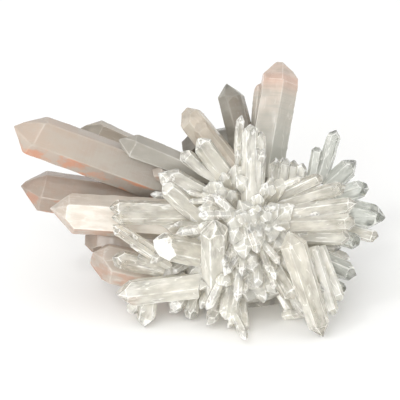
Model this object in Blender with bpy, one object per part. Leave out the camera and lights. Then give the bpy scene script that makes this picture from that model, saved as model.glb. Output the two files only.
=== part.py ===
"""Quartz crystal cluster: a burst of quartz points grown from one base.

Run with  blender --background --python part.py  or from Blender's text editor.
Metres, +Z up. The cluster stands on the flat broken underside of its base, at z = 0.

The specimen is laid out on its display face, a plane that leans back from the vertical.
Places on it are (right, up, out) in millimetres from the centre of the burst. A crystal is
a block cut by its growth faces: six prism faces, six tip faces and the end in the base.
Where two crystals meet, the younger one stops at a face of the older one.
"""
import random
from math import atan2, cos, pi, radians, sin

import bmesh
import bpy
from mathutils import Matrix, Vector

MM = 0.001

# Driving dimensions, in millimetres and degrees
LEAN = 25.0             # the display face leans back this far from the vertical
BURST_HEIGHT = 37.0     # height of the centre of the burst above the cut underside
GAP = 0.3               # joint line between crystals that grew against each other
TIP_SLOPE = 38.2        # between a tip face and the long axis, fixed by quartz's lattice
FACES = 6               # prism faces, and tip faces above them
BLOCK_SLACK = 1.0       # how far the block reaches past its crystal before it is cut
SOLVER_FOR_MANY = 'MANIFOLD'    # EXACT leaves open edges where dozens of crystals cross
WELD = 0.002            # corners closer than this are one corner

# Tip habits: how far each of the six tip faces is held back, in crystal radii.
# A face at 0 runs through the apex, a higher one is cut back to a small facet.
REGULAR = (0.0, 0.1, 0.0, 0.1, 0.0, 0.1)
TRIGONAL = (0.0, 0.55, 0.05, 0.6, 0.0, 0.5)
CHISEL = (0.0, 0.45, 0.5, 0.05, 0.5, 0.45)
LOW_SIDE = (-0.1, 0.3, 0.25, 0.3, 0.0, -0.1)
GIANT = (-0.3, 0.2, 0.15, 0.3, -0.05, -0.2)
WINDOW = (0.3, 0.45, 0.4, 0.3, 0.0, 0.0)
FACET = (-0.35, 0.2, 0.4, 0.5, 0.35, 0.25)
TALL = (-0.3, -0.3, 0.3, 0.1, 0.45, 0.3)
SKEWED = (0.3, 0.0, 0.15, 0.5, 0.7, 0.45)
BLUNT = (0.2, 0.1, 0.35, 0.2, 0.3, 0.15)


def display_point(right, up, out):
    """A place on the display face, in millimetres, as world metres."""
    lean = radians(LEAN)
    return Vector((right,
                   up * sin(lean) - out * cos(lean),
                   BURST_HEIGHT + up * cos(lean) + out * sin(lean))) * MM


def prism_section(width, flatness, roll):
    """Angle and distance of the six prism faces, with the outline centred on the axis.

    width is across the crystal as the display face shows it. flatness below 1 makes it
    tabular, and roll turns it on its axis: at 0 a flat face looks out, at 30 a ridge does.
    """
    angles = [radians(90.0 + roll + 60.0 * k) for k in range(FACES)]
    reach = [1.0 - (1.0 - flatness) * sin(a) ** 2 for a in angles]
    corners = []
    for k in range(FACES):
        a, b = angles[k], angles[(k + 1) % FACES]
        da, db = reach[k], reach[(k + 1) % FACES]
        turn = sin(b - a)
        corners.append(((da * sin(b) - db * sin(a)) / turn, (db * cos(a) - da * cos(b)) / turn))
    low = min(x for x, _ in corners)
    high = max(x for x, _ in corners)
    scale = width / (high - low)
    middle = 0.5 * (low + high)
    return [(a, scale * (d - middle * cos(a))) for a, d in zip(angles, reach)]


class Crystal:
    """One quartz point, held as the planes of its faces in world metres."""

    def __init__(self, name, tip, root, width, root_width=None, flatness=0.9, roll=8.0,
                 habit=TRIGONAL, turn=0, tip_lean=0.0, foot=None):
        self.name = name
        self.tip = display_point(*tip)
        self.root = display_point(*root)
        self.axis = (self.tip - self.root).normalized()
        self.length = (self.tip - self.root).length
        out = display_point(0, 0, 1) - display_point(0, 0, 0)
        if abs(out.normalized().dot(self.axis)) > 0.96:
            out = display_point(0, 1, 0) - display_point(0, 0, 0)
        self.out = (out - self.axis * out.dot(self.axis)).normalized()
        self.side = self.out.cross(self.axis)
        self.radius = 0.5 * width * MM
        grown = (root_width or width) / width
        section = prism_section(width * MM, flatness, roll)
        taper = atan2(self.radius * (grown - 1.0), self.length)
        self.planes = []
        for angle, distance in section:
            outward = self.side * cos(angle) + self.out * sin(angle)
            normal = outward * cos(taper) + self.axis * sin(taper)
            self.planes.append((self.tip + outward * distance, normal))
        self.planes.append((self.root, -self.axis))
        slope = radians(TIP_SLOPE)
        lean = Matrix.Rotation(radians(tip_lean), 3, self.out)
        held_back = habit[turn:] + habit[:turn]
        tip_faces = []
        for (angle, _), back in zip(section, held_back):
            outward = self.side * cos(angle) + self.out * sin(angle)
            normal = lean @ (outward * cos(slope) + self.axis * sin(slope))
            tip_faces.append((self.tip + self.axis * back * self.radius, normal))
        reached = self.highest(self.planes + tip_faces)
        self.planes += [(point + self.axis * (self.length - reached), normal)
                        for point, normal in tip_faces]
        if foot:
            self.add_foot(section, foot)

    def add_foot(self, section, drop):
        """A second tip at the lower end, drop millimetres past the root."""
        slope = radians(TIP_SLOPE)
        end = self.root - self.axis * drop * MM
        self.planes[FACES] = (end, -self.axis)
        for angle, _ in section:
            outward = self.side * cos(angle) + self.out * sin(angle)
            self.planes.append((end, outward * cos(slope) - self.axis * sin(slope)))

    def highest(self, planes):
        """How far along the axis a block cut by these planes reaches."""
        block = self.cut_block(planes)
        reached = max((v.co - self.root).dot(self.axis) for v in block.verts)
        block.free()
        return reached

    def cut_block(self, planes, grow=0.0):
        """A cube around the crystal, cut by planes that are moved out by grow."""
        block = bmesh.new()
        size = 2.0 * self.length + 8.0 * self.radius + BLOCK_SLACK * MM
        middle = 0.5 * (self.tip + self.root)
        bmesh.ops.create_cube(block, size=size, matrix=Matrix.Translation(middle))
        for point, normal in planes:
            bmesh.ops.bisect_plane(block, geom=block.verts[:] + block.edges[:] + block.faces[:],
                                   dist=1e-7, plane_co=point + normal * grow, plane_no=normal,
                                   clear_outer=True)
            rim = [e for e in block.edges if e.is_boundary]
            if rim:
                bmesh.ops.contextual_create(block, geom=rim)
        bmesh.ops.dissolve_degenerate(block, dist=1e-6, edges=block.edges)
        bmesh.ops.recalc_face_normals(block, faces=block.faces)
        return block

    def solid(self, grow=0.0):
        return self.cut_block(self.planes, grow)

    def corners(self):
        block = self.solid()
        points = [v.co.copy() for v in block.verts]
        block.free()
        return points


# ---------------------------------------------------------------- where crystals meet

def reach_past(points, plane):
    """How far each point lies outside a plane."""
    at, normal = plane
    return [(p - at).dot(normal) for p in points]


def meet_on_a_face(younger, older):
    """Stop the younger crystal at the face of the older one that costs it least."""
    gap = GAP * MM
    young = younger.corners()
    old = older.corners()
    if any(min(reach_past(young, plane)) > gap for plane in older.planes):
        return
    if any(min(reach_past(old, plane)) > gap for plane in younger.planes):
        return
    best = None
    for point, normal in older.planes:
        face = (point + normal * gap, -normal)
        block = younger.cut_block(younger.planes + [face])
        kept = block.calc_volume() if len(block.faces) > 3 else 0.0
        tip_kept = any((v.co - younger.tip).length < 0.8 * younger.radius for v in block.verts)
        block.free()
        score = kept * (1.0 if tip_kept else 0.2)
        if best is None or score > best[0]:
            best = (score, face)
    younger.planes.append(best[1])


def stand_on_floor(crystal):
    """Cut off what would reach below the flat underside."""
    if min(p.z for p in crystal.corners()) < 0.0:
        crystal.planes.append((Vector((0.0, 0.0, 0.0)), Vector((0.0, 0.0, -1.0))))


# ---------------------------------------------------------------- the crystals by region

def great_left_points():
    """The three long prisms that lean out to the left, and the shorter one over them."""
    return [
        ("giant_left_point", "stained_quartz", [
            Crystal("giant", (-92, 35, 5), (-15, 7, -10), 16.5, 17.5, 0.72, 7, GIANT, 0, -10)]),
        ("shadowed_left_point", "smoky_quartz", [
            Crystal("shadowed", (-66, 34, -12), (-15, 10, -18), 14, 15, 0.9, 12, LOW_SIDE)]),
        ("slender_left_point", "milky_quartz", [
            Crystal("slender", (-50.5, 29.5, 4), (-14, 14, -5), 11, 11.5, 0.8, -8, LOW_SIDE, 0, -6)]),
        ("rusty_left_point", "stained_quartz", [
            Crystal("rusty", (-90, 11, -12), (-20, 0.5, -14), 16, 17, 0.8, 14, LOW_SIDE, 0, -6)]),
        ("window_left_point", "milky_quartz", [
            Crystal("window", (-78, 1.2, 6), (-19, -2.5, 0), 16, 16, 0.75, -10, WINDOW, 0, -3)]),
        ("low_shadowed_left_point", "stained_quartz", [
            Crystal("low_shadowed", (-64, -10, -4), (-20, -12, -6), 9, 11, 0.9, 3, CHISEL)]),
    ]


def low_left_points():
    """The points that fan out and down on the left, nearest the viewer last."""
    return [
        ("low_left_point", "stained_quartz", [
            Crystal("low", (-61.5, -17.3, -1), (-24, -25.5, -3), 16.5, 16.5, 0.8, 11, CHISEL, 1)]),
        ("ridged_left_point", "milky_quartz", [
            Crystal("ridged_a", (-54, 3, 13), (-14, 2, 4), 6, 6, 0.9, 5, BLUNT),
            Crystal("ridged_b", (-53, -1, 14), (-14, -1, 5), 5.5, 5.5, 0.9, 22, BLUNT, 2)]),
        ("front_left_point", "milky_quartz", [
            Crystal("front_left", (-36, -11.5, 27), (-10, -17, 8), 10.5, 11, 0.9, 6, FACET, 1)]),
        ("left_needle_bundle", "milky_quartz", [
            Crystal("needle_a", (-53, -3, 15), (-30, -18, 10), 3.2, 3.2, 1.0, 5, TRIGONAL),
            Crystal("needle_b", (-52, -6, 16), (-30, -20.5, 11), 2.8, 2.8, 1.0, 18, CHISEL),
            Crystal("needle_c", (-46, -11, 15), (-29, -22, 10), 2.4, 2.4, 1.0, 9, TRIGONAL, 2)]),
        ("low_left_twin", "milky_quartz", [
            Crystal("twin_a", (-53, -17, 11), (-25, -23, 5), 7, 7.5, 0.9, 12, TRIGONAL, 3),
            Crystal("twin_b", (-43, -17, 13), (-24, -22, 7), 5.5, 6, 0.9, 4, CHISEL)]),
        ("low_front_left_point", "milky_quartz", [
            Crystal("low_front", (-51, -31.7, 14), (-12, -27, 7), 10, 10.5, 0.9, 16, CHISEL, 2)]),
        ("left_foot_point", "milky_quartz", [
            Crystal("left_foot", (-40, -44.3, 10), (-38, -28, 2), 6.5, 8, 0.9, 8, TRIGONAL),
            Crystal("left_foot_side", (-46, -39, 7), (-37, -27, 1), 5.5, 6, 0.9, 20, CHISEL)]),
        ("middle_foot_point", "milky_quartz", [
            Crystal("middle_foot", (-22, -41.5, 5), (-20, -30, 0), 5, 6, 0.9, 3, TRIGONAL, 1),
            Crystal("middle_foot_side", (-29, -37.5, 6), (-22, -29, 0), 6, 6.5, 0.9, 9, CHISEL)]),
    ]


def upper_left_points():
    """The points between the great left prisms and the middle of the burst."""
    return [
        ("upper_left_white_point", "milky_quartz", [
            Crystal("upper_white_a", (-34, 17.5, 10), (-11, 4, 3), 8.5, 9, 0.9, 14, SKEWED),
            Crystal("upper_white_b", (-33, 12.5, 13), (-13, -6, 7), 7, 7.5, 0.9, 4, TRIGONAL, 2)]),
        ("upper_left_brown_point", "stained_quartz", [
            Crystal("upper_brown", (-37, 18, 2), (-20, 9, -2), 5.5, 6, 0.9, 9, TRIGONAL)]),
        ("back_left_point", "smoky_quartz", [
            Crystal("back_left", (-24.3, 41.8, -13), (-3, 15.5, -8), 10, 11, 0.85, 18, CHISEL, 1)]),
        ("back_left_short_point", "smoky_quartz", [
            Crystal("back_left_short", (-19.3, 36.8, -4), (-5, 17.5, -5), 7, 8, 0.9, 4, TRIGONAL, 2)]),
        ("white_point", "milky_quartz", [
            Crystal("white", (-18.8, 30.5, 5), (-6, 13, 3), 7.5, 8, 0.9, 13, FACET, 3),
            Crystal("white_side", (-25.7, 25.2, 2), (-12, 12, 1), 6.5, 7, 0.9, 6, TRIGONAL)]),
    ]


def top_points():
    """The tall points that stand up at the top of the burst."""
    return [
        ("tallest_point", "clear_quartz", [
            Crystal("tallest", (15.5, 61.5, -21), (7.3, 14, -10), 14.5, 14.5, 0.8, -22, TALL),
            Crystal("tallest_left", (6.8, 53, -22), (3, 14, -12), 5, 6, 0.9, 6, TRIGONAL)]),
        ("dark_back_point", "smoky_quartz", [
            Crystal("dark_back", (-7, 53, -19), (3, 14, -12), 10, 10.5, 0.85, 14, SKEWED, 1),
            Crystal("dark_back_side", (-25, 27.5, -22), (1, 31, -20), 9.5, 10.5, 0.9, 20, CHISEL)]),
        ("centre_column", "milky_quartz", [
            Crystal("column_a", (2, 36, 13), (2, 4, 16), 6, 7, 0.9, 8, TRIGONAL),
            Crystal("column_b", (6, 33, 12), (5, 4, 14), 4.6, 5, 0.9, 2, CHISEL, 1),
            Crystal("column_c", (5, 27, 15), (4.5, 2, 17), 3, 3.4, 0.9, 15, TRIGONAL, 2)]),
        ("stubby_columns", "milky_quartz", [
            Crystal("stub_a", (12.4, 22.8, 0), (11, 7, 1), 5.2, 5.4, 0.9, 4, BLUNT),
            Crystal("stub_b", (16, 22.6, 1.5), (14, 6, 2), 5.0, 5.2, 0.9, 12, CHISEL),
            Crystal("stub_c", (19.6, 22, -1), (17.5, 6, 0), 5.2, 5.4, 0.9, 8, BLUNT, 1),
            Crystal("stub_d", (22.8, 20.6, 0.5), (20, 6, 0), 4.4, 4.6, 0.9, 2, CHISEL, 2)]),
        ("right_back_point", "clear_quartz", [
            Crystal("right_back", (36.5, 34, -6), (30, 13, -4), 5.2, 5.6, 0.9, 9, TRIGONAL, 1),
            Crystal("right_back_thin", (29, 27, -4), (26.5, 13, -3), 3.8, 4, 0.9, 3, CHISEL)]),
    ]


def right_fan():
    """The stubby and glassy points on the right, fanned from the middle of the burst."""
    return [
        ("right_dome_point", "clear_quartz", [
            Crystal("dome", (44.5, 21.6, -6), (32, 10, -3), 7.5, 8, 0.9, 10, BLUNT)]),
        ("right_grey_point", "clear_quartz", [
            Crystal("grey", (49, 11.5, -3), (36, 7, -1), 7, 7.5, 0.9, 15, CHISEL, 1)]),
        ("glassy_right_point", "clear_quartz", [
            Crystal("glassy", (55.6, -2.2, -8), (34, 2.5, -3), 11, 11, 0.85, 8, SKEWED, 5)]),
        ("glassy_lower_point", "clear_quartz", [
            Crystal("glassy_low", (53.5, -8.5, -8), (31, -2, -3), 6.5, 7, 0.9, 12, TRIGONAL)]),
        ("low_right_point", "clear_quartz", [
            Crystal("low_right", (46, -10.7, -2), (27, -6, 0), 7, 7, 0.9, 6, CHISEL)]),
        ("fan_point_1", "milky_quartz", [
            Crystal("fan_1", (31, 15.5, 8), (9, 5, 8), 5, 5.5, 0.9, 11, TRIGONAL)]),
        ("fan_point_2", "milky_quartz", [
            Crystal("fan_2", (40, 11.5, 10), (11, 3, 9), 5.5, 6, 0.9, 4, TRIGONAL, 2)]),
        ("fan_point_3", "milky_quartz", [
            Crystal("fan_3", (44.5, 4, 14), (12, 0, 11), 6.5, 7, 0.9, 9, SKEWED)]),
        ("fan_point_4", "milky_quartz", [
            Crystal("fan_4", (43.5, -2.5, 16), (13, -4, 12), 6.5, 7, 0.9, 16, CHISEL)]),
        ("fan_point_5", "milky_quartz", [
            Crystal("fan_5", (42, -9, 10), (14, -8, 8), 6, 6.5, 0.9, 5, TRIGONAL, 3)]),
    ]


def front_points():
    """The points that hang down and out at the front."""
    return [
        ("great_front_point", "milky_quartz", [
            Crystal("great_front", (17.5, -6.5, 23), (29.4, -43.6, 18.3), 11, 8.6, 0.9, 12, BLUNT,
                    foot=5.0)]),
        ("front_side_bundle", "milky_quartz", [
            Crystal("side_a", (35.6, -40, 17), (27, -13, 12), 4.4, 4.6, 0.9, 8, TRIGONAL),
            Crystal("side_b", (38, -34, 14), (30, -13, 9), 4, 4.2, 0.9, 3, CHISEL)]),
        ("right_foot_point", "clear_quartz", [
            Crystal("right_foot", (44.5, -24, 2), (28, -17, 2), 7, 7.5, 0.9, 14, TRIGONAL)]),
        ("right_foot_short_point", "clear_quartz", [
            Crystal("right_foot_short", (40, -30, 2), (27, -23, 1), 4, 4.4, 0.9, 5, CHISEL)]),
        ("front_slab_point", "milky_quartz", [
            Crystal("front_slab", (20, -34, 17), (8, -14, 10), 8, 8.5, 0.8, 5, TRIGONAL, 2)]),
        ("front_dome_point", "milky_quartz", [
            Crystal("front_dome", (-12.5, -2, 31), (-12, -28, 7), 10.5, 10.5, 0.9, 14, BLUNT, 2)]),
    ]


def back_points():
    """The points that lean away at the back, which the display face hides."""
    return [
        ("rear_great_point", "smoky_quartz", [
            Crystal("rear_great", (12, 17, -60), (4, 1, -18), 14, 15, 0.9, 10, GIANT, 4)]),
        ("rear_left_point", "smoky_quartz", [
            Crystal("rear_left", (-38, 18, -48), (-12, 0, -20), 11, 12, 0.9, 18, TRIGONAL, 1)]),
        ("rear_low_left_point", "stained_quartz", [
            Crystal("rear_low_left", (-46, -8, -38), (-18, -14, -18), 10, 11, 0.9, 6, SKEWED)]),
        ("rear_right_point", "clear_quartz", [
            Crystal("rear_right", (43, 9, -36), (18, -1, -15), 9, 10, 0.9, 12, CHISEL)]),
        ("rear_middle_point", "milky_quartz", [
            Crystal("rear_middle", (-16, 12, -56), (-3, -4, -22), 10, 11, 0.9, 3, TRIGONAL, 3)]),
        ("rear_low_right_point", "clear_quartz", [
            Crystal("rear_low_right", (33, -13, -40), (14, -18, -18), 8, 9, 0.9, 15, SKEWED, 2)]),
    ]


# Small points fused to the base. Those of the middle stand in a spiral on a dome, and each
# leans away from the centre of the burst.
FACE_SMALL_POINTS = 42
FACE_CENTRE = (0.5, -3.0)              # right and up on the display face
FACE_REACH = 24.0                      # radius of the spiral
FACE_DOME = (26.5, 0.026)              # height of the dome, and how it falls off
FACE_LEAN = (34.0, 1.6)                # degrees at the centre, and more for each mm from it
SMALL_LENGTH = 15.0
# The others: right, up and out of the tip, and width
OUTER_SMALL_POINTS = (
    # above the middle, beside the columns
    (-13, 13, 17, 6.8), (-4.5, 19.5, 12, 8.0), (-9, 17, 13, 5.0), (-17, 9, 14, 5.6),
    (9, 12, 13, 5.0), (-3, 30, 6, 3.2),
    # below the middle, pointing down and out
    (-2, -26, 19, 6.2), (5.2, -29, 16, 6.4), (-9.2, -28, 19, 6.4), (-14.5, -34, 13, 6.4),
    (-19, -30, 12, 6.0), (12, -31, 14, 6.0), (-5.5, -43, 16, 3.8), (-1, -46.2, 13.2, 3.3),
    (19, -41, 3, 3.5), (1.5, -34.5, 13, 5.4), (8, -34.5, 11, 5.2), (-24, -34.5, 9, 6.0),
    (12, -22, 18, 6.0), (3, -22, 20, 6.0),
    # behind the low left points and the great front point, which they carry
    (-36, -27, 2, 8.0), (-34, -19, 6, 7.0), (-30, -12, 11, 6.0), (-33, -4, 8, 6.0),
    (17, -12, 20, 10.0), (21, -23, 17, 10.0), (24, -31, 14, 9.0),
)
# More of them round the hidden side, in a spiral from a seeded draw
HIDDEN_SMALL_POINTS = 32
HIDDEN_CENTRE = (1.0, 8.0, 17.0)       # where they spread from, world millimetres
HIDDEN_REACH = (31.0, 39.0)
HIDDEN_TOP = 11.0                      # none rises past this on the display face


def on_display(x, y, z):
    """World millimetres as (right, up, out) on the display face."""
    lean = radians(LEAN)
    rise = z - BURST_HEIGHT
    return Vector((x, y * sin(lean) + rise * cos(lean), rise * sin(lean) - y * cos(lean)))


def small_point(number, tip, width, root):
    """A small crystal fused to the base; its number picks its tip habit and its turn."""
    habit = (TRIGONAL, CHISEL, SKEWED, REGULAR)[number % 4]
    return Crystal(f"small_{number}", tip, root, width, 1.05 * width, 0.9,
                   11.0 * number % 30, habit, number % 3)


def face_points():
    """The small points of the middle."""
    draw = random.Random(4)
    points = []
    for k in range(FACE_SMALL_POINTS):
        reach = FACE_REACH * ((k + 0.5) / FACE_SMALL_POINTS) ** 0.5
        azimuth = 2.4 * k + draw.uniform(-0.2, 0.2)
        out = FACE_DOME[0] - FACE_DOME[1] * reach ** 2 + draw.uniform(-2.0, 2.0)
        tip = Vector((FACE_CENTRE[0] + reach * cos(azimuth),
                      FACE_CENTRE[1] + reach * sin(azimuth), out))
        lean = radians(FACE_LEAN[0] + FACE_LEAN[1] * reach + draw.uniform(-14.0, 14.0))
        heading = azimuth + draw.uniform(-0.5, 0.5)
        along = Vector((sin(lean) * cos(heading), sin(lean) * sin(heading), cos(lean)))
        points.append(small_point(k, tip, draw.uniform(4.4, 8.4), tip - along * SMALL_LENGTH))
    return points


def small_points():
    points = face_points()
    for k, (right, up, out, width) in enumerate(OUTER_SMALL_POINTS):
        root = (0.4 * right, 0.4 * up - 3.0, 2.0)
        points.append(small_point(k + 1, (right, up, out), width, root))
    draw = random.Random(11)
    for k in range(HIDDEN_SMALL_POINTS):
        azimuth = radians(-25.0 + 230.0 * (k * 0.618 % 1.0))
        elevation = radians(-8.0 + 58.0 * (k + 0.5) / HIDDEN_SMALL_POINTS)
        reach = draw.uniform(*HIDDEN_REACH)
        tip = Vector((cos(azimuth) * cos(elevation), sin(azimuth) * cos(elevation),
                      sin(elevation))) * reach + Vector(HIDDEN_CENTRE)
        place = on_display(*tip)
        place.y = min(place.y, HIDDEN_TOP)
        points.append(small_point(k, place, draw.uniform(5.0, 9.0), on_display(*HIDDEN_CENTRE)))
    return points


# ---------------------------------------------------------------- Blender objects

MATERIALS = {                     # colour, roughness, how much light passes through
    "clear_quartz": ((0.78, 0.79, 0.76), 0.06, 0.85),
    "milky_quartz": ((0.86, 0.85, 0.80), 0.15, 0.55),
    "smoky_quartz": ((0.50, 0.46, 0.41), 0.10, 0.60),
    "stained_quartz": ((0.72, 0.62, 0.53), 0.14, 0.50),
}
QUARTZ_IOR = 1.544


def quartz_material(slot):
    material = bpy.data.materials.get(slot)
    if material is None:
        colour, roughness, passing = MATERIALS[slot]
        material = bpy.data.materials.new(slot)
        material.use_nodes = True
        shader = material.node_tree.nodes["Principled BSDF"]
        shader.inputs["Base Color"].default_value = (*colour, 1.0)
        shader.inputs["Roughness"].default_value = roughness
        shader.inputs["Metallic"].default_value = 0.0
        shader.inputs["IOR"].default_value = QUARTZ_IOR
        shader.inputs["Transmission Weight"].default_value = passing
    return material


def new_collection(name):
    collection = bpy.data.collections.new(name)
    bpy.context.scene.collection.children.link(collection)
    return collection


def add_object(name, block, collection, slot=None):
    """Turn a bmesh into an object; a cutter has no material slot and isn't rendered."""
    mesh = bpy.data.meshes.new(name)
    block.to_mesh(mesh)
    block.free()
    piece = bpy.data.objects.new(name, mesh)
    collection.objects.link(piece)
    if slot:
        mesh.materials.append(quartz_material(slot))
    else:
        piece.hide_render = True
        piece.display_type = 'WIRE'
    return piece


def boolean(piece, operation, operands, solver='EXACT'):
    """A Boolean with every object of a collection at once."""
    modifier = piece.modifiers.new(f"{operation.lower()}_{operands.name}", 'BOOLEAN')
    modifier.operation = operation
    modifier.operand_type = 'COLLECTION'
    modifier.collection = operands
    modifier.solver = solver
    return modifier


def apply_and_drop_islands(piece):
    """Apply the modifiers and keep the largest connected body."""
    graph = bpy.context.evaluated_depsgraph_get()
    mesh = bpy.data.meshes.new_from_object(piece.evaluated_get(graph))
    piece.modifiers.clear()
    block = bmesh.new()
    block.from_mesh(mesh)
    bpy.data.meshes.remove(mesh)
    bmesh.ops.remove_doubles(block, verts=block.verts, dist=WELD * MM)
    bmesh.ops.triangulate(block, faces=block.faces)
    bodies = []
    waiting = set(block.verts)
    while waiting:
        body = set()
        front = [waiting.pop()]
        while front:
            vertex = front.pop()
            body.add(vertex)
            for edge in vertex.link_edges:
                other = edge.other_vert(vertex)
                if other in waiting:
                    waiting.remove(other)
                    front.append(other)
        bodies.append(body)
    largest = max(bodies, key=len)
    stray = [v for v in block.verts if v not in largest]
    bmesh.ops.delete(block, geom=stray, context='VERTS')
    block.to_mesh(piece.data)
    block.free()


def rock_lump(centre, radii, seed):
    """A broken lump: a coarse ball with its corners pushed in and out."""
    block = bmesh.new()
    bmesh.ops.create_icosphere(block, subdivisions=2, radius=1.0)
    draw = random.Random(seed)
    for vertex in block.verts:
        vertex.co *= draw.uniform(0.86, 1.08)
        vertex.co = Vector(a * b for a, b in zip(vertex.co, radii)) * MM
        vertex.co += Vector(centre) * MM
    return block


def flat_underside(block):
    """Cut a lump off flat where the cluster was broken from its vein."""
    bmesh.ops.bisect_plane(block, geom=block.verts[:] + block.edges[:] + block.faces[:],
                           dist=1e-7, plane_co=(0.0, 0.0, 0.0), plane_no=(0.0, 0.0, -1.0),
                           clear_outer=True)
    bmesh.ops.contextual_create(block, geom=[e for e in block.edges if e.is_boundary])
    bmesh.ops.recalc_face_normals(block, faces=block.faces)
    return block


def make_crystal_nodes(groups, cluster, guides):
    """One object for each group; crystals that overlap within a group are joined."""
    for name, slot, crystals in groups:
        piece = add_object(name, crystals[0].solid(), cluster, slot)
        if len(crystals) > 1:
            others = new_collection(f"{name}_members")
            guides.children.link(others)
            bpy.context.scene.collection.children.unlink(others)
            for crystal in crystals[1:]:
                add_object(f"{name}_{crystal.name}", crystal.solid(), others)
            boolean(piece, 'UNION', others)


def make_base(groups, cluster, guides):
    """The intergrown middle: broken rock, small points, and a socket for each crystal."""
    base = add_object("intergrown_base", flat_underside(rock_lump((0, 12, 7.5), (30, 24, 18), 5)),
                      cluster, "milky_quartz")
    fused = new_collection("fused_points")
    sockets = new_collection("sockets")
    for collection in (fused, sockets):
        guides.children.link(collection)
        bpy.context.scene.collection.children.unlink(collection)
    add_object("heart", flat_underside(rock_lump((1, -2, 31), (25, 21, 20), 8)), fused)
    add_object("apron", flat_underside(rock_lump((0, -13, 19), (23, 13, 14), 3)), fused)
    for crystal in small_points():
        stand_on_floor(crystal)
        add_object(crystal.name, crystal.solid(), fused)
    for _, _, crystals in groups:
        for crystal in crystals:
            add_object(f"socket_{crystal.name}", crystal.solid(GAP * MM), sockets)
    boolean(base, 'UNION', fused, SOLVER_FOR_MANY)
    boolean(base, 'DIFFERENCE', sockets, SOLVER_FOR_MANY)
    apply_and_drop_islands(base)


def main():
    for old in list(bpy.data.objects):
        bpy.data.objects.remove(old, do_unlink=True)
    cluster = new_collection("quartz_crystal_cluster")
    guides = new_collection("cutters")
    groups = (great_left_points() + front_points() + low_left_points() + top_points()
              + upper_left_points() + right_fan() + back_points())
    placed = []
    for _, _, crystals in groups:
        for crystal in crystals:
            stand_on_floor(crystal)
            for older in placed:
                meet_on_a_face(crystal, older)
        placed += crystals
    make_crystal_nodes(groups, cluster, guides)
    make_base(groups, cluster, guides)


main()
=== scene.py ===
"""Looks of the quartz crystal cluster: grown surfaces, quartz materials, floor, light and camera.

Every crystal keeps the shape of its CAD node. Its visible mesh is that shape with worn edges,
growth lines across the prism and faces that aren't quite flat. The base also gets a crust of
small crystals.
"""

import random
from math import cos, pi, radians, sin

import bmesh
import bpy
import numpy as np
from mathutils import Matrix, Vector, noise
from mathutils.bvhtree import BVHTree
from mathutils.geometry import intersect_point_line


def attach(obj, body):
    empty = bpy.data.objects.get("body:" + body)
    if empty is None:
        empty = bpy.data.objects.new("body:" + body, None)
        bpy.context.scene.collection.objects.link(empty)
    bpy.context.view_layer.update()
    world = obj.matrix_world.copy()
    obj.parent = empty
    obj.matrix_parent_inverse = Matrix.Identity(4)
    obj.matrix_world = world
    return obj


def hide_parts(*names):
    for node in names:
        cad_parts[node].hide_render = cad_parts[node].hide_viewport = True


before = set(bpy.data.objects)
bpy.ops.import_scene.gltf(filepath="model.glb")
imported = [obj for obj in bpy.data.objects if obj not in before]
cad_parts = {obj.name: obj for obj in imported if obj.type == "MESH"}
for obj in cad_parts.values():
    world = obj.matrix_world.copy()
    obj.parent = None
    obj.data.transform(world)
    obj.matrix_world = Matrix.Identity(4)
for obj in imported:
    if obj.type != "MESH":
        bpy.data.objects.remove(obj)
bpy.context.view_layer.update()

MM = 0.001

# The display face, and the view of it.
LEAN = 25.0                     # it leans back this far from the vertical, degrees
BURST_HEIGHT = 37.0             # height of the centre of the burst, mm
VIEW_WIDTH = 160.0              # what the frame takes in, mm
VIEW_CENTRE = (-18.0, 6.0)      # right and up on the display face, mm
CAMERA_DISTANCE = 4.0           # m
SENSOR = 36.0                   # mm
FACING = 0.2                    # faces that turn to the viewer more than this are in front
END_ON = 0.2                    # crystals this near to the line of sight are seen end on, radians

# Every crystal's surface.
SAME_CORNER = 0.002 * MM
ON_PLANE = 0.001 * MM
ONE_FACE = radians(0.8)         # faces that turn less than this are one flat face
SHARP = radians(12)             # edges that turn more than this get worn, and their white is partly a painted highlight
WORN_WIDTH = 0.22               # mm
GAP_ALONG = (0.7, 14)           # the mesh's least gap along a crystal, mm, and gaps in its width
GAP_ACROSS = (0.9, 9)           # the same across it
SWELL = (0.16, 0.22)            # unevenness of the faces: waves in a mm, and height in mm
RIPPLE = (0.55, 0.07)
LINE_RATE = 0.9                 # growth lines in a mm
LINE_DEPTH = 0.09               # mm
LINES_END = 1.6                 # how fast the growth lines fade on faces that turn to the tip
FULL_SIZE = 8.0                 # crystals narrower than this are less uneven, mm
JOIN_COVER = 0.17               # the pieces grow by this, to close the joint lines, mm
CREASE = radians(14)            # the shading breaks at edges that turn more than this
PAINTED_HIGHLIGHT = 2.0                   # facet value of a face with a painted white highlight; the others are 0 to 1, painted shades

# The base and its crust of small crystals.
CRUST_COUNT = 230
PLACES_SEED = 17
SHAPES_SEED = 31
CRUST_WIDTH = (1.8, 4.4)        # mm
CRUST_LENGTH = (2.6, 4.2)       # times the width
CRUST_TIP = 0.7                 # height of the pointed end, times the width
CRUST_ROOT = 0.3                # depth inside the base, times the width
CRUST_OVAL = 0.12               # how far a crystal is from equally wide all round
CRUST_ASIDE = 0.12              # how far the point is from the middle, times the width
CRUST_GIRTH = (0.8, 1.0, 0.95)  # at the root, in the middle and at the shoulder, times the width
CRUST_STEP = 0.14               # how uneven the shoulder is, times the width
CRUST_LIFT = 0.3                # how far they stand out of the base; 0 would lie along it
CRUST_ALONG = 0.8               # how much they are turned to run along the display face
CRUST_SPREAD = 0.12             # how much their directions differ
CRUST_LOWEST = 3.0              # none root lower than this on the base, mm
CRUST_CLEAR = 5.0               # they are clear from this far over the base, mm
SKIN = 0.4                      # grain of the base's mesh, mm
SKIN_KEPT = 0.28                # share of its triangles that are kept
BASE_CREASE = radians(17)       # the shading breaks at edges that turn more than this
BASE_SHARP = radians(20)        # edges of the base and crust that turn more than this are worn, their white partly a painted highlight
EDGE_REACH = 0.7                # and whitened this far from the edge, mm
EDGE_WEAR_AND_HIGHLIGHT_STRENGTH = 1.6                 # strength of that wear and painted highlight
RAY_GRAIN = 24.0                # grain across the rays of the burst, mm a radian
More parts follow.
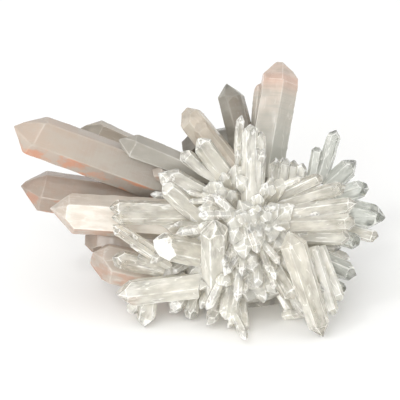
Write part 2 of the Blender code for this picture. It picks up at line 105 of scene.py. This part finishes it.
RAY_SKEW = (0.3, -0.6)          # how the rays' third direction is shared between the other two


def display_point(right, up, out):
    """A place on the leaning display face, in millimetres from the burst, as world metres."""
    lean = radians(LEAN)
    return Vector((right,
                   up * sin(lean) - out * cos(lean),
                   BURST_HEIGHT + up * cos(lean) + out * sin(lean))) * MM


BURST = display_point(0, 0, 0)
FACE_OUT = (display_point(0, 0, 1) - BURST).normalized()


# ---------------------------------------------------------------- grown surfaces

def clean_copy(name):
    """A CAD node's shape with its flat faces whole again."""
    block = bmesh.new()
    block.from_mesh(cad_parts[name].data)
    bmesh.ops.remove_doubles(block, verts=block.verts, dist=SAME_CORNER)
    bmesh.ops.dissolve_limit(block, angle_limit=ONE_FACE, verts=block.verts, edges=block.edges)
    return block


def main_axis(block):
    """The middle of a crystal, and the axis that its largest faces run along, root to tip."""
    spread = np.zeros((3, 3))
    middle = Vector()
    whole = 0.0
    for face in block.faces:
        area = face.calc_area()
        whole += area
        middle += face.calc_center_median() * area
        spread += area * np.outer(face.normal, face.normal)
    middle /= whole
    axis = Vector(np.linalg.eigh(spread)[1][:, 0])
    if axis.dot(middle - BURST) < 0:
        axis = -axis
    return middle, axis


def paint_facet_light(block, seed, marks):
    """Each flat face gets its own painted shade, as if lit differently; marks gives the painted
    shade or painted highlight of those nearest to some places.
    """
    shade = block.faces.layers.float.new("facet_painted_light")
    draw = random.Random(seed)
    for face in block.faces:
        face[shade] = draw.random()
    front = [face for face in block.faces if face.normal.dot(FACE_OUT) > FACING]
    for place, value in marks:
        nearest = min(front, key=lambda face: (face.calc_center_median() - place).length)
        nearest[shade] = value


def wear_edges(block):
    """Round the sharp edges; the narrow new faces are marked for white that is partly wear and
    partly a painted highlight.
    """
    edge_wear_and_highlight = block.faces.layers.float.new("edge_wear_and_highlight_face")
    sharp = [edge for edge in block.edges if edge.calc_face_angle(0.0) > SHARP]
    made = bmesh.ops.bevel(block, geom=sharp, offset=WORN_WIDTH * MM, segments=2, profile=0.6,
                           affect='EDGES', clamp_overlap=True)
    for face in made["faces"]:
        face[edge_wear_and_highlight] = 1.0


def dice(block, middle, directions, gaps):
    """Cut the faces into a grid along the three directions."""
    for normal, gap in zip(directions, gaps):
        reach = [(v.co - middle).dot(normal) for v in block.verts]
        low, high = min(reach), max(reach)
        count = int((high - low) / gap)
        for k in range(1, count):
            at = middle + normal * (low + (high - low) * k / count)
            bmesh.ops.bisect_plane(block, geom=block.verts[:] + block.edges[:] + block.faces[:],
                                   dist=ON_PLANE, plane_co=at, plane_no=normal)


def uneven(block, axis, low, amount, lines, seed):
    """Growth lines across the prism, and faces that aren't quite flat."""
    shift = Vector((seed * 7.3, seed * 3.1, seed * 5.7))
    block.normal_update()
    moves = []
    for vertex in block.verts:
        n = vertex.normal
        along = (vertex.co - low).dot(axis) / MM
        prism = 1.0 - min(1.0, abs(n.dot(axis)) * LINES_END)
        ring = noise.noise(Vector((seed * 1.7, 0.0, along * LINE_RATE))) * lines * prism
        place = vertex.co / MM
        swell = noise.noise(place * SWELL[0] + shift) * SWELL[1]
        ripple = noise.noise(place * RIPPLE[0] + shift) * RIPPLE[1]
        moves.append(n * ((ring + swell + ripple) * amount + JOIN_COVER) * MM)
    for vertex, move in zip(block.verts, moves):
        vertex.co += move


def keep_attribute(mesh, name, kind, values):
    """Store a list of numbers or vectors, one for each vertex, for the shaders."""
    mesh.attributes.new(name, kind, 'POINT')
    key = "vector" if kind == 'FLOAT_VECTOR' else "value"
    flat = [x for value in values for x in value] if key == "vector" else values
    mesh.attributes[name].data.foreach_set(key, flat)


def grown_piece(name, block, edge_wear_and_highlight, grain, along, crease, material):
    """Make the piece that stands for a node; nothing of it reaches under the floor.

    The shaders read four attributes: one for each flat face of a crystal, its painted shade or
    painted highlight, as if the faces were lit differently; one that is 1 along the edges, laid
    white there as wear and as a painted highlight; grain, the crystal's own coordinates in mm; and
    along, from 0 at the root to 1 at the tip.
    """
    block.normal_update()
    places = [vertex.co.copy() for vertex in block.verts]
    mesh = bpy.data.meshes.new(f"{name}_grown")
    block.to_mesh(mesh)
    block.free()
    keep_attribute(mesh, "grain", 'FLOAT_VECTOR', [grain(p) for p in places])
    keep_attribute(mesh, "along", 'FLOAT', [min(1.0, max(0.0, along(p))) for p in places])
    keep_attribute(mesh, "edge_wear_and_highlight", 'FLOAT', edge_wear_and_highlight)
    for vertex in mesh.vertices:
        vertex.co.z = max(vertex.co.z, 0.0)
    mesh.set_sharp_from_angle(angle=crease)
    mesh.materials.append(material)
    piece = bpy.data.objects.new(f"{name}_grown", mesh)
    bpy.context.scene.collection.objects.link(piece)
    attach(piece, "root")
    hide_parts(name)


def grown_crystal(name, material, seed, lines, marks):
    """The visible mesh of a crystal node."""
    block = clean_copy(name)
    middle, axis = main_axis(block)
    paint_facet_light(block, seed, marks)
    wear_edges(block)
    out = FACE_OUT - axis * FACE_OUT.dot(axis)
    if out.length < END_ON:
        out = Vector((0, 0, 1)) - axis * axis.z
    out.normalize()
    side = out.cross(axis)
    heights = [(v.co - middle).dot(axis) for v in block.verts]
    length = max(heights) - min(heights)
    low = middle + axis * min(heights)
    size = 2.0 * max((v.co - middle - axis * (v.co - middle).dot(axis)).length for v in block.verts)
    gap_along = max(GAP_ALONG[0] * MM, size / GAP_ALONG[1])
    gap_across = max(GAP_ACROSS[0] * MM, size / GAP_ACROSS[1])
    dice(block, middle, (axis, side, out), (gap_along, gap_across, gap_across))
    uneven(block, axis, low, min(1.0, size / MM / FULL_SIZE), lines, seed)
    mark = block.faces.layers.float["edge_wear_and_highlight_face"]
    edge_wear_and_highlight = [max(face[mark] for face in v.link_faces) for v in block.verts]
    own = Matrix((side, out, axis)) * (1.0 / MM)
    offset = Vector((seed * 17.0, seed * 29.0, 0.0))
    grown_piece(name, block, edge_wear_and_highlight, lambda p: own @ (p - low) + offset,
                lambda p: (p - low).dot(axis) / length, CREASE, material)


def crust_places(base):
    """Places spread evenly by area over the base, and the directions that they face."""
    faces = [f for f in base.faces if f.calc_center_median().z > CRUST_LOWEST * MM]
    draw = random.Random(PLACES_SEED)
    for face in draw.choices(faces, [f.calc_area() for f in faces], k=CRUST_COUNT):
        a, b = sorted((draw.random(), draw.random()))
        corners = [v.co for v in face.verts]
        yield corners[0] * a + corners[1] * (b - a) + corners[2] * (1 - b), face.normal


def crust_crystal(root, direction, width, length, draw):
    """Corners and faces of a small six-sided crystal with a pointed end."""
    side = direction.orthogonal().normalized()
    front = direction.cross(side)
    shoulder = length - CRUST_TIP * width
    twist = draw.uniform(0, pi)
    corners = []
    for height, girth in zip((-CRUST_ROOT * width, 0.5 * shoulder, shoulder), CRUST_GIRTH):
        for k in range(6):
            turn = twist + k * pi / 3
            reach = 0.5 * width * girth * (1.0 + CRUST_OVAL * sin(2 * turn))
            drop = CRUST_STEP * width * sin(3 * turn + twist) if height == shoulder else 0.0
            corners.append(root + (side * cos(turn) + front * sin(turn)) * reach
                           + direction * (height + drop))
    corners.append(root + direction * length + side * CRUST_ASIDE * width)
    rows = [(j * 6 + k, j * 6 + (k + 1) % 6) for j in range(2) for k in range(6)]
    faces = [(a, b, b + 6, a + 6) for a, b in rows]
    faces += [(12 + k, 12 + (k + 1) % 6, 18) for k in range(6)]
    faces.append(tuple(range(5, -1, -1)))
    return corners, faces


def add_crust(block):
    """Small crystals over the base, between the large ones, and none under the floor."""
    draw = random.Random(SHAPES_SEED)
    for root, normal in list(crust_places(block)):
        away = root - BURST
        away = (away - FACE_OUT * CRUST_ALONG * away.dot(FACE_OUT)).normalized()
        spread = Vector([draw.gauss(0, CRUST_SPREAD) for _ in range(3)])
        direction = normal * CRUST_LIFT + away + spread
        width = draw.uniform(*CRUST_WIDTH) * MM
        length = width * draw.uniform(*CRUST_LENGTH)
        direction.z = max(direction.z, (width - root.z) / length)
        corners, faces = crust_crystal(root, direction.normalized(), width, length, draw)
        made = [block.verts.new(corner) for corner in corners]
        for face in faces:
            block.faces.new([made[k] for k in face])


def fused(block, name):
    """One skin over everything in a block, as fine as SKIN and then thinned where it is flat."""
    mesh = bpy.data.meshes.new(name)
    block.to_mesh(mesh)
    piece = bpy.data.objects.new(name, mesh)
    bpy.context.scene.collection.objects.link(piece)
    skin = piece.modifiers.new("skin", 'REMESH')
    skin.mode = 'VOXEL'
    skin.voxel_size = SKIN * MM
    thin = piece.modifiers.new("thin", 'DECIMATE')
    thin.ratio = SKIN_KEPT
    result = bmesh.new()
    result.from_mesh(piece.evaluated_get(bpy.context.evaluated_depsgraph_get()).to_mesh())
    bpy.data.objects.remove(piece)
    result.normal_update()
    for vertex in result.verts:
        vertex.co += vertex.normal * JOIN_COVER * MM
    return result


def near_edge(place, face):
    """1 beside a sharp edge of a face, falling to 0 at EDGE_REACH from it."""
    reach = EDGE_REACH * MM
    for edge in face.edges:
        if edge.calc_face_angle(0.0) > BASE_SHARP:
            start, end = (v.co for v in edge.verts)
            share = intersect_point_line(place, start, end)[1]
            reach = min(reach, (place - start.lerp(end, min(1.0, max(0.0, share)))).length)
    return 1.0 - reach / (EDGE_REACH * MM)


def grown_base(name, material):
    """The base and its crust; their grain runs out from the centre of the burst."""
    block = clean_copy(name)
    bmesh.ops.triangulate(block, faces=block.faces)
    rock = BVHTree.FromBMesh(block)
    add_crust(block)
    block.normal_update()
    block.faces.ensure_lookup_table()
    flat = BVHTree.FromBMesh(block)
    skin = fused(block, name)

    def grain(place):
        ray = (place - BURST).normalized() * RAY_GRAIN
        return Vector((ray.x + ray.z * RAY_SKEW[0], ray.y + ray.z * RAY_SKEW[1],
                       (place - BURST).length / MM))

    def edge_wear_and_highlight_at(place):
        face = block.faces[flat.find_nearest(place)[2]]
        return min(1.0, EDGE_WEAR_AND_HIGHLIGHT_STRENGTH * near_edge(place, face))

    edge_wear_and_highlight = [edge_wear_and_highlight_at(vertex.co) for vertex in skin.verts]
    block.free()
    grown_piece(name, skin, edge_wear_and_highlight, grain, lambda p: rock.find_nearest(p)[3] / (CRUST_CLEAR * MM),
                BASE_CREASE, material)


# ---------------------------------------------------------------- materials

class Nodes:
    """Short ways to add shader nodes to one material."""

    def __init__(self, name):
        self.material = bpy.data.materials.new(name)
        self.material.use_nodes = True
        self.tree = self.material.node_tree
        self.shader = self.tree.nodes["Principled BSDF"]

    def add(self, kind, inputs=(), **settings):
        node = self.tree.nodes.new(kind)
        for key, value in settings.items():
            setattr(node, key, value)
        for socket, value in dict(inputs).items():
            self.feed(node.inputs[socket], value)
        return node

    def feed(self, socket, value):
        if isinstance(value, bpy.types.NodeSocket):
            self.tree.links.new(value, socket)
        else:
            socket.default_value = value

    def attribute(self, name):
        return self.add("ShaderNodeAttribute", attribute_name=name)

    def noise(self, vector, scale, stretch, detail, roughness):
        """Noise in the crystal's own coordinates; scale is in mm, stretch lengthens it along."""
        lengths = (1 / scale, 1 / scale, 1 / (scale * stretch))
        mapped = self.add("ShaderNodeMapping", {"Vector": vector, "Scale": lengths})
        texture = self.add("ShaderNodeTexNoise", {"Vector": mapped.outputs[0], "Scale": 1.0,
                                                  "Detail": detail, "Roughness": roughness})
        return texture.outputs["Fac"]

    def band(self, value, low, high, bottom=0.0, top=1.0):
        """value stretched from low..high to bottom..top, smoothly."""
        node = self.add("ShaderNodeMapRange", {"Value": value, "From Min": low, "From Max": high,
                                               "To Min": bottom, "To Max": top},
                        interpolation_type='SMOOTHSTEP')
        return node.outputs["Result"]

    def math(self, operation, a, b=0.0):
        node = self.add("ShaderNodeMath", operation=operation)
        self.feed(node.inputs[0], a)
        self.feed(node.inputs[1], b)
        return node.outputs[0]

    def mix(self, share, a, b):
        node = self.add("ShaderNodeMix", data_type='RGBA')
        self.feed(node.inputs[0], share)
        self.feed(node.inputs[6], a if isinstance(a, bpy.types.NodeSocket) else (*a, 1.0))
        self.feed(node.inputs[7], b if isinstance(b, bpy.types.NodeSocket) else (*b, 1.0))
        return node.outputs[2]


def srgb(r, g, b):
    """An 8-bit screen colour as the linear one that a shader takes."""
    return tuple(((c / 255 + 0.055) / 1.055) ** 2.4 for c in (r, g, b))


QUARTZ_IOR = 1.544
# the white of veils, also laid on as painted highlights on edges and some faces
VEIL_AND_HIGHLIGHT_WHITE = srgb(252, 251, 246)
# a grey for clouds and growth rings, also the painted shade of darker facets
SHADE = srgb(186, 187, 178)
RUST = srgb(212, 146, 112)
ROSE = srgb(226, 180, 158)
PALE_GREEN = (0.88, 0.92, 0.87, 1.0)    # what clear quartz lets through, where it is thick
GLOW = 0.7                              # share of the light that spreads inside milky quartz
GLOW_DEPTH = 1.5                        # mm
ROUGHNESS = (0.12, 0.24)                # in clear places and in clouds
BUMP = (0.25, 0.12)                     # strength, and height in mm
BUMP_RINGS = 0.3                        # the least share of the growth rings in it
BUMP_RIDGES = 0.5                       # and that of the fine ridges

# Noises in the quartz: size in mm, how much longer it is along the crystal, detail, roughness.
CLOUD = (4.0, 2.0, 3.0, 0.5)
FLOW = (2.6, 3.0, 4.0, 0.55)
RINGS = (12.0, 0.07, 2.0, 0.6)
WANDER = (3.6, 5.0, 2.0, 0.6)
BLOTCH = (5.5, 1.6, 3.0, 0.55)
RIDGES = (0.9, 25.0, 2.0, 0.5)

# Strengths of single marks, as shares of what a look gives their kind.
DULL_FLOW_SHARE = 0.3
WHITE_FLOW_SHARE = 0.3
WISPS_SHARE = 0.8
WISPS_FROST = 0.7
EDGE_WEAR_AND_HIGHLIGHT_SHARE = (0.25, 1.0)
PAINTED_HIGHLIGHT_SHARE = (0.1, 0.35)
ROSE_AT_TIP = 0.3

# How much of a look's light passes, in clear places, in full veils and where it is frosted or has a
# painted highlight.
CLEAR_PASSES = 1.1
VEILS_STOP = 0.4
FROST_PASSES = 0.3

# Where each mark starts and where it is full, as the value of its noise.
DULL_CLOUD = (0.60, 0.35)
WHITE_CLOUD = (0.45, 0.6)
RINGED = (0.42, 0.62)
DULL_FLOW = (0.46, 0.32)
WHITE_FLOW = (0.54, 0.70)
PATCHY = (0.35, 0.60)
VEILED = (0.35, 0.65)
CLOUDED = (0.3, 0.7)
WISPS = (0.020, 0.006)                  # distance from the middle of the noise
BLOTCHED = (0.46, 0.62)

# The same for places: 0 to 1 from root to tip, or how far a face turns upwards.
ROOT_TO_TIP = (0.2, 1.0)
CLEARING = (0.2, 0.95)
UNDER_TIP = (0.68, 0.85)
AT_TIP = (0.86, 0.90)
UNDERNEATH = (0.3, -0.3)
EDGE_LINE = (0.8, 1.0)                  # the edge attribute, of wear and painted highlight


def look(root, tip, passed, veils, edge=0.3, stain=0.0, cloud=0.2, painted_facet_shade=0.25, rings=0.1,
         rose=0.0, density=0.0):
    """One kind of quartz.

    root and tip are its colours there, and passed is how much light goes through at each. The
    rest are strengths: white veils, worn edges laid white partly as a painted highlight, iron
    stain underneath, clouds, the painted shade that sets facets apart as if lit differently,
    growth rings, a rose band under the tip, and the absorption of clear quartz.
    """
    return {"root": srgb(*root), "tip": srgb(*tip), "passed": passed, "veils": veils,
            "edge": edge, "stain": stain, "cloud": cloud, "painted_facet_shade": painted_facet_shade, "rings": rings,
            "rose": rose, "density": density}


LOOKS = {                               # colours, light passed, then strengths in look's order
    "snow": look((241, 238, 228), (244, 241, 232), (0.40, 0.70), 0.9, 0.8, 0.0, 0.04, 0.0, 0.0),
    "milk": look((244, 241, 231), (247, 245, 237), (0.45, 0.78), 0.9, 0.8, 0.0, 0.04, 0.0, 0.0),
    "cream": look((244, 240, 229), (247, 243, 233), (0.50, 0.82), 0.8, 0.8, 0.05, 0.04, 0.0, 0.0),
    "pearl": look((235, 231, 220), (237, 234, 224), (0.50, 0.85), 0.8, 0.8, 0.05, 0.04, 0.0, 0.0),
    "heart": look((249, 245, 235), (251, 247, 239), (0.55, 0.72), 0.8, 0.8, 0.05, 0.03, 0.0, 0.0),
    "window": look((215, 203, 190), (222, 207, 193), (0.15, 0.35), 0.3, 0.2, 0.35, 0.15),
    "giant": look((163, 153, 143), (197, 178, 162), (0.10, 0.25), 0.05, 0.08, 0.75, 0.25, 0.1),
    "rust": look((184, 169, 155), (182, 161, 145), (0.15, 0.40), 0.1, 0.1, 0.75, 0.25, 0.15),
    "blush": look((210, 195, 182), (210, 195, 182), (0.15, 0.40), 0.3, 0.15, 0.4, 0.15),
    "ash": look((188, 182, 172), (198, 192, 181), (0.25, 0.50), 0.15, 0.25, 0.0, 0.1, 0.15),
    # a lighter copy of smoke for the crystal that lies in shade: painted light that lifts its shade
    "shadow": look((188, 175, 158), (188, 175, 158), (0.20, 0.40), 0.1, 0.2, 0.0, 0.15),
    "smoke": look((142, 132, 119), (146, 135, 121), (0.25, 0.55), 0.1, 0.12, 0.0, 0.15, 0.4),
    "dusk": look((221, 209, 193), (228, 216, 200), (0.20, 0.45), 0.3, 0.12, 0.05),
    "grey": look((214, 215, 208), (219, 220, 214), (0.50, 0.85), 0.8, 0.7, 0.0, 0.08, 0.1, 0.0,
                 density=40.0),
    "tall": look((188, 185, 175), (230, 215, 201), (0.15, 0.35), 0.3, 0.25, 0.05, 0.15, 0.3,
                 0.4, 0.5),
    "clear": look((228, 229, 223), (234, 236, 230), (0.60, 0.92), 0.8, 0.7, 0.0, 0.08, 0.1, 0.0,
                  density=40.0),
}


def quartz(name, kind):
    """Quartz with veils, growth rings and iron stain, milky at the root and clearer at the tip."""
    n = Nodes(f"quartz_{name}")
    grain = n.attribute("grain").outputs["Vector"]
    along = n.attribute("along").outputs["Fac"]
    facet_painted_light = n.attribute("facet_painted_light").outputs["Fac"]
    # facet values above 1 are faces with a painted white highlight
    painted_highlight = n.band(facet_painted_light, 1.0, PAINTED_HIGHLIGHT)
    cloud = n.noise(grain, *CLOUD)
    flow = n.noise(grain, *FLOW)
    # the edge mark: white that is partly frosted wear and partly a painted highlight
    edge_wear_and_highlight = n.math('MULTIPLY', n.band(n.attribute("edge_wear_and_highlight").outputs["Fac"], *EDGE_LINE),
                  n.band(flow, *PATCHY, *EDGE_WEAR_AND_HIGHLIGHT_SHARE))
    rings = n.noise(grain, *RINGS)

    def lay(share, strength, colour, under):
        """A colour over what is under it, where share is high."""
        return n.mix(n.math('MULTIPLY', share, strength), under, colour)

    body = n.mix(n.band(along, *ROOT_TO_TIP), kind["root"], kind["tip"])
    # painted shade: each flat face lighter or darker, as if the light fell on it differently
    body = lay(n.band(facet_painted_light, 0.0, 1.0), kind["painted_facet_shade"], SHADE, body)
    body = lay(n.band(cloud, *DULL_CLOUD), kind["cloud"], SHADE, body)
    body = lay(n.band(rings, *RINGED), kind["rings"], SHADE, body)
    body = lay(n.band(flow, *DULL_FLOW), DULL_FLOW_SHARE * kind["cloud"], SHADE, body)
    body = lay(n.band(flow, *WHITE_FLOW), WHITE_FLOW_SHARE * kind["veils"], VEIL_AND_HIGHLIGHT_WHITE, body)
    wander = n.math('ABSOLUTE', n.math('SUBTRACT', n.noise(grain, *WANDER), 0.5))
    wisps = n.math('MULTIPLY', n.band(wander, *WISPS), n.band(cloud, *WHITE_CLOUD))
    body = lay(wisps, WISPS_SHARE * kind["veils"], VEIL_AND_HIGHLIGHT_WHITE, body)
    normal = n.add("ShaderNodeNewGeometry").outputs["Normal"]
    up = n.add("ShaderNodeSeparateXYZ", {"Vector": normal}).outputs["Z"]
    blotch = n.band(n.noise(grain, *BLOTCH), *BLOTCHED)
    body = lay(n.math('MULTIPLY', blotch, n.band(up, *UNDERNEATH)), kind["stain"], RUST, body)
    blush = n.math('MULTIPLY', n.band(along, *UNDER_TIP), n.band(along, *AT_TIP, 1.0, ROSE_AT_TIP))
    body = lay(blush, kind["rose"], ROSE, body)
    # edges laid white: partly frosted wear, partly a painted highlight along them
    body = lay(edge_wear_and_highlight, kind["edge"], VEIL_AND_HIGHLIGHT_WHITE, body)
    # painted highlight: the marked faces laid white, patchy with the flow
    body = lay(painted_highlight, n.band(flow, *PATCHY, *PAINTED_HIGHLIGHT_SHARE), VEIL_AND_HIGHLIGHT_WHITE, body)
    n.feed(n.shader.inputs["Base Color"], body)

    passed = n.band(along, *CLEARING, *kind["passed"])
    veiled = CLEAR_PASSES - VEILS_STOP * kind["veils"]
    passed = n.math('MULTIPLY', passed, n.band(flow, *VEILED, CLEAR_PASSES, veiled))
    frost_and_highlight = n.math('MAXIMUM', painted_highlight, n.math('MULTIPLY', wisps, WISPS_FROST * kind["veils"]))
    frost_and_highlight = n.math('MAXIMUM', frost_and_highlight, n.math('MULTIPLY', edge_wear_and_highlight, kind["edge"]))
    passed = n.math('MULTIPLY', passed, n.band(frost_and_highlight, 0.0, 1.0, 1.0, FROST_PASSES))
    n.feed(n.shader.inputs["Transmission Weight"], passed)
    n.feed(n.shader.inputs["Roughness"], n.band(cloud, *CLOUDED, *ROUGHNESS))
    n.shader.inputs["IOR"].default_value = QUARTZ_IOR
    n.shader.inputs["Subsurface Weight"].default_value = GLOW
    n.shader.inputs["Subsurface Radius"].default_value = (1.0, 1.0, 1.0)
    n.shader.inputs["Subsurface Scale"].default_value = GLOW_DEPTH * MM

    ridges = n.noise(grain, *RIDGES)
    height = n.math('ADD', n.math('MULTIPLY', rings, BUMP_RINGS + kind["rings"]),
                    n.math('MULTIPLY', ridges, BUMP_RIDGES))
    bump = n.add("ShaderNodeBump", {"Height": height, "Strength": BUMP[0],
                                    "Distance": BUMP[1] * MM})
    n.feed(n.shader.inputs["Normal"], bump.outputs["Normal"])
    if kind["density"]:
        depth = n.add("ShaderNodeVolumeAbsorption", {"Color": PALE_GREEN,
                                                     "Density": kind["density"]})
        n.feed(n.tree.nodes["Material Output"].inputs["Volume"], depth.outputs["Volume"])
    return n.material


CRYSTALS = {                            # the look of each crystal node
    "giant_left_point": "giant", "shadowed_left_point": "shadow", "slender_left_point": "ash",
    "rusty_left_point": "rust", "window_left_point": "window", "low_shadowed_left_point": "rust",
    "low_left_point": "blush", "ridged_left_point": "cream", "front_left_point": "cream",
    "left_needle_bundle": "cream", "low_left_twin": "cream", "low_front_left_point": "milk",
    "left_foot_point": "milk", "middle_foot_point": "milk", "upper_left_white_point": "snow",
    "upper_left_brown_point": "blush", "back_left_point": "dusk", "back_left_short_point": "dusk",
    "white_point": "snow", "tallest_point": "tall", "dark_back_point": "smoke",
    "centre_column": "milk", "stubby_columns": "milk", "right_back_point": "grey",
    "right_dome_point": "grey", "right_grey_point": "clear", "glassy_right_point": "clear",
    "glassy_lower_point": "cream", "low_right_point": "clear", "fan_point_1": "cream",
    "fan_point_2": "cream", "fan_point_3": "cream", "fan_point_4": "cream", "fan_point_5": "snow",
    "great_front_point": "pearl", "front_side_bundle": "milk", "right_foot_point": "grey",
    "right_foot_short_point": "clear", "front_slab_point": "cream", "front_dome_point": "snow",
    "rear_great_point": "smoke", "rear_left_point": "dusk", "rear_low_left_point": "blush",
    "rear_right_point": "grey", "rear_middle_point": "milk", "rear_low_right_point": "grey",
}
SPECIAL_LINES = {                       # depth of the growth lines where it isn't LINE_DEPTH, mm
    "tallest_point": 0.2, "giant_left_point": 0.05, "slender_left_point": 0.05,
}
PAINTED_FACET_LIGHT = {                       # places on the display face, mm, and the painted shade or painted highlight of their faces
    "front_left_point": [((-33.0, -13.0, 27.0), PAINTED_HIGHLIGHT)],
    "window_left_point": [((-52.0, -1.0, 12.0), PAINTED_HIGHLIGHT)],
    "tallest_point": [((18.0, 38.0, -9.0), 1.0), ((8.0, 38.0, -9.0), 0.0)],
    "dark_back_point": [((-8.0, 43.0, -9.0), 1.0), ((-2.0, 41.0, -9.0), 0.3),
                        ((3.0, 39.0, -14.0), 0.0)],
}


def dress_cluster():
    """Every crystal, then the base that holds them."""
    materials = {name: quartz(name, kind) for name, kind in LOOKS.items()}
    for k, (node, kind) in enumerate(CRYSTALS.items()):
        marks = [(display_point(*at), value) for at, value in PAINTED_FACET_LIGHT.get(node, ())]
        grown_crystal(node, materials[kind], k + 1, SPECIAL_LINES.get(node, LINE_DEPTH), marks)
    grown_base("intergrown_base", materials["heart"])


# ---------------------------------------------------------------- floor, light, camera

FLOOR_RADIUS = 3.0                      # m
FLOOR_COLOUR = (0.94, 0.94, 0.93, 1.0)
FLOOR_ROUGHNESS = 0.9
SKY_COLOUR = (1.0, 1.0, 1.0, 1.0)
SKY_STRENGTH = 0.95
LIGHTS = {                              # place in metres, width in metres, power in watts
    "front": ((-0.15, -0.85, 0.55), 0.4, 2.4),
    "key": ((-0.45, -0.35, 0.85), 0.12, 0.8),
    "fill": ((-0.5, -0.8, 0.12), 0.3, 3.4),
    "side": ((0.8, -0.3, 0.5), 0.12, 0.5),
}
BOUNCES = 48                            # light passes through many crystals before it comes out
DIFFUSE_BOUNCES = 32


def plain_floor():
    bpy.ops.mesh.primitive_circle_add(vertices=64, radius=FLOOR_RADIUS, fill_type='NGON')
    floor = bpy.context.object
    floor.name = "floor"
    n = Nodes("pale_floor")
    n.shader.inputs["Base Color"].default_value = FLOOR_COLOUR
    n.shader.inputs["Roughness"].default_value = FLOOR_ROUGHNESS
    floor.data.materials.append(n.material)


def soft_box(name, at, size, power):
    """A square area light that faces the burst."""
    lamp = bpy.data.lights.new(name, 'AREA')
    lamp.shape = 'SQUARE'
    lamp.size = size
    lamp.energy = power
    light = bpy.data.objects.new(name, lamp)
    light.location = at
    light.rotation_euler = (BURST - Vector(at)).to_track_quat('-Z', 'Y').to_euler()
    bpy.context.scene.collection.objects.link(light)


def studio_light():
    world = bpy.data.worlds.new("studio")
    world.use_nodes = True
    sky = world.node_tree.nodes["Background"]
    sky.inputs["Color"].default_value = SKY_COLOUR
    sky.inputs["Strength"].default_value = SKY_STRENGTH
    bpy.context.scene.world = world
    for name, light in LIGHTS.items():
        soft_box(name, *light)


def camera():
    scene = bpy.context.scene
    lens = bpy.data.cameras.new("camera")
    lens.sensor_width = SENSOR
    lens.lens = SENSOR * CAMERA_DISTANCE / (VIEW_WIDTH * MM)
    lens.clip_start = 0.1
    lens.clip_end = 20.0
    seen = bpy.data.objects.new("camera", lens)
    seen.location = display_point(*VIEW_CENTRE, 0.0) + FACE_OUT * CAMERA_DISTANCE
    seen.rotation_euler = (-FACE_OUT).to_track_quat('-Z', 'Y').to_euler()
    scene.collection.objects.link(seen)
    scene.camera = seen


def picture_settings():
    scene = bpy.context.scene
    scene.view_settings.view_transform = 'Standard'
    scene.cycles.use_denoising = True
    scene.cycles.max_bounces = BOUNCES
    scene.cycles.diffuse_bounces = DIFFUSE_BOUNCES
    scene.cycles.transmission_bounces = BOUNCES
    scene.cycles.caustics_reflective = True
    scene.cycles.caustics_refractive = True


camera()
picture_settings()
studio_light()
plain_floor()
dress_cluster()
